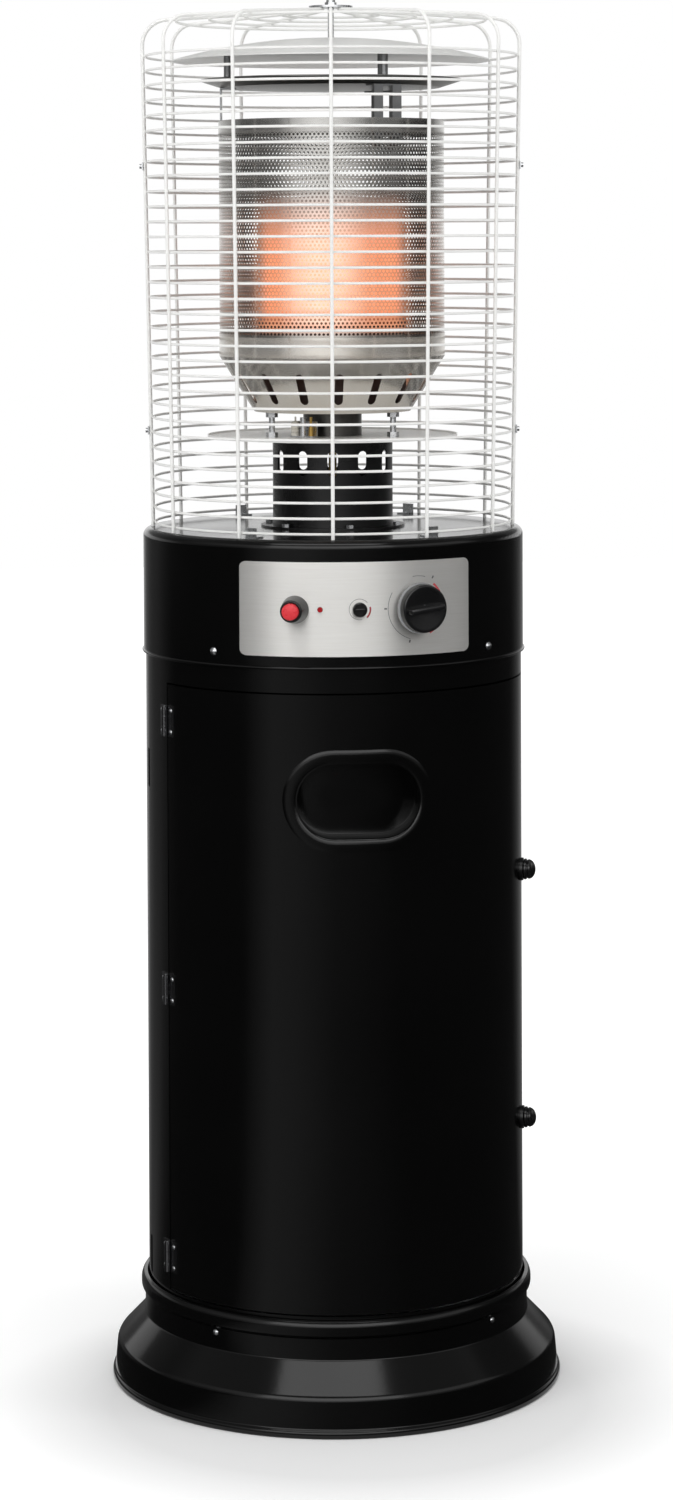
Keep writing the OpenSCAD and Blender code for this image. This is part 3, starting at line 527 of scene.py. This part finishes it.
def finger_dish():
    """Pressed oval dish in the door: a broad rolled lip round a deep recess."""
    bm = bmesh.new()
    floor = 0.0224
    steps = ((0.147, 0.099, -0.0001), (0.145, 0.097, -0.0006), (0.140, 0.092, -0.0011), (0.133, 0.085, -0.0012),
             (0.126, 0.078, -0.0008), (0.1215, 0.0735, 0.0002), (0.1196, 0.0716, 0.0026), (0.1189, 0.0709, 0.016),
             (0.1182, 0.0702, 0.0222), (0.1165, 0.0685, floor), (0.1, 0.052, floor), (0.08, 0.032, floor),
             (0.06, 0.012, floor))
    loops = [stadium_loop(bm, *step) for step in steps]
    for outer, inner in zip(loops, loops[1:]):
        bmesh.ops.bridge_loops(bm, edges=outer + inner)
    bmesh.ops.contextual_create(bm, geom=loops[-1])
    piece(bm, "finger_dish", ENAMEL, body="door_leaf", stands_for=("handle_dish",), crease=70)


def grip_bar(bm, length, width, low, high, bevel):
    """Rounded bar across a knob, along local X."""
    bar = bmesh.ops.create_cube(bm, size=1.0)["verts"]
    bmesh.ops.scale(bm, verts=bar, vec=(length, width, high - low))
    bmesh.ops.translate(bm, verts=bar, vec=(0, 0, (low + high) / 2))
    edges = list(dict.fromkeys(e for v in bar for e in v.link_edges))
    bmesh.ops.bevel(bm, geom=edges, offset=bevel, offset_type="OFFSET", segments=3, profile=0.5, affect="EDGES",
                    material=-1)


def gas_knob():
    """Control knob: a full round body on a grey skirt, with a blade across its hollow face."""
    foot, top = PANEL_OUT + 0.0052, PANEL_OUT + 0.025
    skirt = bmesh.new()
    turn(skirt, [(0.0, foot), (0.0245, foot), (0.0245, foot + 0.0035), (0.0238, foot + 0.0048), (0.0, foot + 0.0048)],
         steps=64, closed=False, rounding={1: 0.0008, 2: 0.001})
    face_out(skirt, KNOB_ANGLE)
    piece(skirt, "knob_skirt", GREY_ABS, body="knob")
    bm = bmesh.new()
    turn(bm, [(0.0, foot + 0.0049), (0.0236, foot + 0.0049), (0.0229, foot + 0.0124), (0.0195, foot + 0.0122),
              (0.009, foot + 0.0104), (0.0, foot + 0.01)], steps=64, closed=False, rounding={1: 0.0005, 2: 0.0016})
    grip_bar(bm, 0.0425, 0.0085, foot + 0.006, top, 0.0026)
    blade = [v for v in bm.verts if v.co.z > foot + 0.0135]
    bmesh.ops.scale(bm, verts=blade, vec=(0.86, 0.72, 1.0))
    blade_turn = math.radians(7)
    bmesh.ops.rotate(bm, verts=bm.verts[:], cent=(0, 0, 0), matrix=Matrix.Rotation(blade_turn, 3, "Z"))
    face_out(bm, KNOB_ANGLE)
    piece(bm, "gas_knob", ABS, body="knob", stands_for=("control_knob",))


def latch_knob(which):
    """Turn latch: ribbed round knob with a rounded wing, its stem and the tongue behind the door."""
    bm = bmesh.new()
    stem_r, tongue_gap = 0.004, 0.006
    tongue_w, tongue_l, tongue_t = 0.008, 0.017, 0.002
    foot = CABINET_R + LATCH_PLATE_T
    tongue_out = CABINET_R - SHEET_T - tongue_gap
    profile = [(0.0, tongue_out - tongue_t), (stem_r, tongue_out - tongue_t), (stem_r, foot), (0.0095, foot),
               (0.0105, foot + 0.001), (0.0105, foot + 0.0028), (0.009, foot + 0.0036), (0.009, foot + 0.0043),
               (0.0099, foot + 0.0051), (0.0095, foot + 0.0066), (0.0075, foot + 0.0076), (0.0, foot + 0.008)]
    turn(bm, profile, steps=40, closed=False)
    wing = bmesh.ops.create_uvsphere(bm, u_segments=32, v_segments=16, radius=1.0)["verts"]
    bmesh.ops.scale(bm, verts=wing, vec=(0.0038, 0.0099, 0.0068))
    # The hidden lower half is flatter, so that it stays inside the knob
    for v in wing:
        if v.co.z < 0.0:
            v.co.z *= 0.5
    bmesh.ops.translate(bm, verts=wing, vec=(0, 0, foot + 0.0052))
    tongue = bmesh.ops.create_cube(bm, size=1.0)["verts"]
    bmesh.ops.scale(bm, verts=tongue, vec=(tongue_w, tongue_l, tongue_t))
    bmesh.ops.translate(bm, verts=tongue, vec=(0, -tongue_l / 2, tongue_out - tongue_t / 2))
    face_out(bm, LATCH_ANGLE, LATCH_HEIGHTS[which])
    piece(bm, which + "_latch_knob", ABS, body=which + "_latch_turn", stands_for=(which + "_latch",))


def igniter_collar():
    """Collar of the igniter: a rounded black ring and its neck through the panel."""
    bm = bmesh.new()
    out, back = PANEL_OUT + 0.021, PANEL_OUT - 0.045
    bore_r, neck_r, wall = 0.00805, 0.0104, 0.003
    profile = [(bore_r, back + wall), (bore_r, out - 0.001), (0.0088, out), (0.0101, out), (0.0108, out - 0.0012),
               (0.0135, PANEL_OUT + 0.0006), (neck_r, PANEL_OUT + 0.0006), (neck_r, back), (0.0, back),
               (0.0, back + wall)]
    turn(bm, profile, steps=48, rounding={3: 0.0005, 4: 0.0006})
    face_out(bm, BUTTON_ANGLE)
    piece(bm, "igniter_collar", ABS, stands_for=("igniter_housing",))


def push_button():
    """Red push button with a rounded, slightly domed end."""
    bm = bmesh.new()
    radius, top, foot = 0.008, PANEL_OUT + 0.028, PANEL_OUT - 0.011
    turn(bm, [(0.0, foot), (radius, foot), (radius, top - 0.0012), (0.0, top)], steps=48, closed=False,
         rounding={2: 0.0018})
    face_out(bm, BUTTON_ANGLE)
    piece(bm, "push_button", RED, body="igniter_button", stands_for=("ignition_button",))


def arc_mark(bm, angle, inner, outer, start, end):
    """Printed arc on the curved panel round a control, between two angles that count anticlockwise from its right."""
    low, high = bm.verts.new((inner, 0, 0)), bm.verts.new((outer, 0, 0))
    edge = bm.edges.new((low, high))
    steps = max(4, int(abs(end - start) / 6))
    bmesh.ops.spin(bm, geom=[low, high, edge], cent=(0, 0, 0), axis=(0, 0, 1), angle=math.radians(end - start),
                   steps=steps)
    flat = [v for v in bm.verts if not v.tag]
    bmesh.ops.rotate(bm, verts=flat, cent=(0, 0, 0), matrix=Matrix.Rotation(math.radians(start), 3, "Z"))
    lift = PANEL_OUT + 0.00008
    for v in flat:
        around = math.radians(angle) + v.co.x / lift
        v.co = (lift * math.sin(around), -lift * math.cos(around), CONTROLS_Z + v.co.y)
        v.tag = True


def panel_marks():
    """Plain dial marks on the panel: red arcs, thin grey arcs and small ticks."""
    ink_t = 0.00005
    red = bmesh.new()
    arc_mark(red, KNOB_ANGLE, 0.0272, 0.0292, 28, 52)
    arc_mark(red, KNOB_ANGLE, 0.0272, 0.0292, -62, -22)
    arc_mark(red, DIAL_ANGLE, 0.0098, 0.0114, -48, 12)
    bmesh.ops.solidify(red, geom=red.faces[:], thickness=ink_t)
    piece(red, "red_dial_marks", RED_INK)
    grey = bmesh.new()
    arc_mark(grey, KNOB_ANGLE, 0.0305, 0.0309, 150, 255)
    arc_mark(grey, KNOB_ANGLE, 0.0305, 0.0309, 75, 100)
    arc_mark(grey, DIAL_ANGLE, 0.0098, 0.0102, 40, 285)
    for tick in (60, 180, 255):
        arc_mark(grey, KNOB_ANGLE, 0.0318, 0.0345, tick - 1.2, tick + 1.2)
    bmesh.ops.solidify(grey, geom=grey.faces[:], thickness=ink_t)
    piece(grey, "grey_dial_marks", GREY_INK)


def dial_face():
    """Small dial: a grooved round head on its spindle, with a raised screwdriver bar."""
    bm = bmesh.new()
    foot, back = PANEL_OUT + 0.001, PANEL_OUT - 0.013
    spindle_r, head_r = 0.0025, 0.007
    profile = [(0.0, back), (spindle_r, back), (spindle_r, foot), (head_r, foot), (head_r, foot + 0.0042),
               (0.0058, foot + 0.005), (0.0052, foot + 0.004), (0.0, foot + 0.004)]
    turn(bm, profile, steps=40, closed=False, rounding={3: 0.0004, 4: 0.0004})
    grip_bar(bm, 0.0096, 0.0022, foot + 0.003, foot + 0.005, 0.0004)
    face_out(bm, DIAL_ANGLE)
    piece(bm, "dial_face", ABS, body="small_dial", stands_for=("slotted_dial",))


def spark_electrode():
    """Electrode beside the pilot: a ribbed white insulator and the wire that stands out of it."""
    bm = bmesh.new()
    foot, rib_gap = 0.0016, 0.0032
    rib_r, groove_r, wire_r = 0.0044, 0.0036, 0.0009
    profile = [(0.0, foot), (rib_r, foot)]
    for rib in range(4):
        low = foot + 0.001 + rib_gap * rib
        profile += [(rib_r, low), (rib_r, low + 0.002), (groove_r, low + 0.0025), (groove_r, low + 0.0029)]
    profile += [(0.0030, foot + 0.0142), (wire_r, foot + 0.0146), (wire_r, foot + 0.019), (0.0, foot + 0.019)]
    turn(bm, profile, steps=32, closed=False)
    bmesh.ops.translate(bm, verts=bm.verts[:], vec=(-0.0095, -0.051, SHIELD_TOP))
    bmesh.ops.rotate(bm, verts=bm.verts[:], cent=(0, 0, 0),
                     matrix=Matrix.Rotation(BURNER_TURN + math.radians(PILOT_ANGLE), 3, "Z"))
    piece(bm, "spark_electrode", CERAMIC, stands_for=("ignition_electrode",))


emitter_mesh()
burner_core()
base_shell()
finger_dish()
gas_knob()
latch_knob("upper")
latch_knob("lower")
igniter_collar()
push_button()
dial_face()
spark_electrode()
panel_marks()


def studio_floor():
    """Pale floor that keeps the heater's shadow and shows white in the picture; painted light that grows with the
    distance from a point just in front of the base lifts it for the camera and reflections, and so sets how far the
    shadow reaches.
    """
    bm = bmesh.new()
    bmesh.ops.create_grid(bm, x_segments=1, y_segments=1, size=9.0)
    material, tree, place = begin("pale_floor_paint")
    mottle = noise(tree, place, 3.0)
    matt = add(tree, "BsdfDiffuse", {"Color": blend(tree, mottle, "#f6f6f6", "#f8f8f8")})
    path = add(tree, "LightPath")
    seen = reckon(tree, "ADD", path.outputs["Is Camera Ray"], path.outputs["Is Glossy Ray"])
    # Painted light: no lift at the base's edge, rising over the next 0.12 m and then slowly out to 1.4 m, centred a
    # little in front so the shadow stays heaviest at the front.
    shadow_middle = (0.0, -0.1, 0.0)
    away = add(tree, "VectorMath", {0: place, 1: shadow_middle}, operation="DISTANCE").outputs["Value"]
    near = spread(tree, away, 0.0, 0.25, start=0.235, end=0.36)
    far = spread(tree, away, 0.0, 0.25, start=0.36, end=1.4)
    painted_floor_lift = reckon(tree, "ADD", near, far)
    glow = add(tree, "Emission", {"Strength": reckon(tree, "MULTIPLY", seen, painted_floor_lift)})
    both = add(tree, "AddShader", {0: matt.outputs[0], 1: glow.outputs[0]})
    add(tree, "OutputMaterial", {"Surface": both.outputs[0]})
    floor = object_of(bm, "studio_floor", material)


def studio_world():
    """White surroundings for the camera, metal and glass, and softer light on matt surfaces."""
    world = bpy.data.worlds.new("white_studio")
    world.use_nodes = True
    tree = world.node_tree
    tree.nodes.clear()
    path = add(tree, "LightPath")
    shiny = reckon(tree, "ADD", path.outputs["Is Glossy Ray"], path.outputs["Is Transmission Ray"])
    seen = reckon(tree, "ADD", path.outputs["Is Camera Ray"], shiny)
    sky = add(tree, "Background", {"Color": linear("#ffffff"), "Strength": spread(tree, seen, 0.72, 1.0)})
    add(tree, "OutputWorld", {"Surface": sky.outputs[0]})
    scene.world = world


def studio_cloth(name, profile, tones):
    """Studio cloth round the set, which only reflections see: its grey follows the angle from the front."""
    bm = bmesh.new()
    turn(bm, profile, steps=96, closed=False)
    material, tree, place = begin(name)
    spot = add(tree, "SeparateXYZ", {"Vector": place}).outputs
    front = reckon(tree, "MULTIPLY", spot["Y"], -1.0)
    angle = reckon(tree, "ARCTAN2", spot["X"], front)
    ramp = add(tree, "ValToRGB", {"Fac": spread(tree, angle, 0.0, 1.0, start=-math.pi, end=math.pi)})
    stops = ramp.color_ramp.elements
    while len(stops) < len(tones):
        stops.new(0.5)
    for stop, (degrees, tone) in zip(stops, tones):
        stop.position = 0.5 + degrees / 360
        stop.color = (tone, tone, tone, 1.0)
    glow = add(tree, "Emission", {"Color": ramp.outputs[0]})
    add(tree, "OutputMaterial", {"Surface": glow.outputs[0]})
    cloth = object_of(bm, name, material)
    cloth.visible_camera = cloth.visible_diffuse = cloth.visible_shadow = cloth.visible_transmission = False


def studio_light(name, place, aim, width, depth, power, mirrored=True):
    """Soft rectangular lamp at a place, aimed at a point; shiny surfaces show it only where it is mirrored."""
    lamp = bpy.data.lights.new(name, "AREA")
    lamp.shape = "RECTANGLE"
    lamp.size, lamp.size_y, lamp.energy = width, depth, power
    made = bpy.data.objects.new(name, lamp)
    made.location = place
    made.visible_glossy = mirrored
    made.rotation_euler = (Vector(aim) - Vector(place)).to_track_quat("-Z", "Y").to_euler()
    scene.collection.objects.link(made)


# Radius and heights of the cloths, and their tones by the angle from the front, in degrees
CLOTH_R = 4.6
CLOTH_FOOT = 0.002
LOW_TOP = 0.75
MIDDLE_TOP = 1.7
CEILING = 4.0
LOW_TONES = [(-180, 0.8), (-172, 0.5), (-163, 0.16), (-150, 0.09), (-138, 0.1), (-120, 0.02), (-62, 0.02),
             (-44, 0.3), (-30, 0.25), (-8, 0.1), (30, 0.02), (128, 0.02), (136, 0.07), (146, 0.15), (155, 0.3),
             (166, 0.45), (180, 0.8)]
MIDDLE_TONES = [(-180, 1.1), (-150, 0.8), (-125, 0.5), (-108, 0.14), (-80, 0.18), (-62, 0.28), (-48, 0.9),
                (-24, 1.5), (0, 1.3), (18, 0.65), (30, 0.3), (62, 0.22), (74, 0.06), (112, 0.06), (124, 0.55),
                (145, 1.0), (180, 1.1)]
HIGH_TONES = [(-180, 0.25), (-134, 0.15), (-118, 0.1), (-80, 0.4), (-50, 0.7), (-45, 2.6), (26, 2.6), (31, 0.9),
              (80, 0.7), (92, 0.1), (120, 0.05), (140, 0.15), (180, 0.25)]
CEILING_TONES = [(-180, 0.2), (180, 0.2)]

studio_floor()
studio_world()
studio_cloth("floor_cloth", [(0.235, CLOTH_FOOT), (CLOTH_R, CLOTH_FOOT)], LOW_TONES)
studio_cloth("low_cloth", [(CLOTH_R, CLOTH_FOOT), (CLOTH_R, LOW_TOP)], LOW_TONES)
studio_cloth("middle_cloth", [(CLOTH_R, LOW_TOP), (CLOTH_R, MIDDLE_TOP)], MIDDLE_TONES)
studio_cloth("high_cloth", [(CLOTH_R, MIDDLE_TOP), (CLOTH_R, CEILING)], HIGH_TONES)
studio_cloth("ceiling_cloth", [(0.0, CEILING), (CLOTH_R, CEILING)], CEILING_TONES)
studio_light("top_softbox", (-0.29, -1.3, 3.1), (-0.02, -0.15, 0.1), 2.4, 0.9, 17.0)
studio_light("left_softbox", (-2.6, -1.6, 1.9), (0.0, 0.0, 0.9), 1.0, 1.8, 16.0, mirrored=False)
studio_light("right_softbox", (2.6, -1.2, 1.7), (0.0, 0.0, 0.9), 0.8, 1.8, 11.0, mirrored=False)
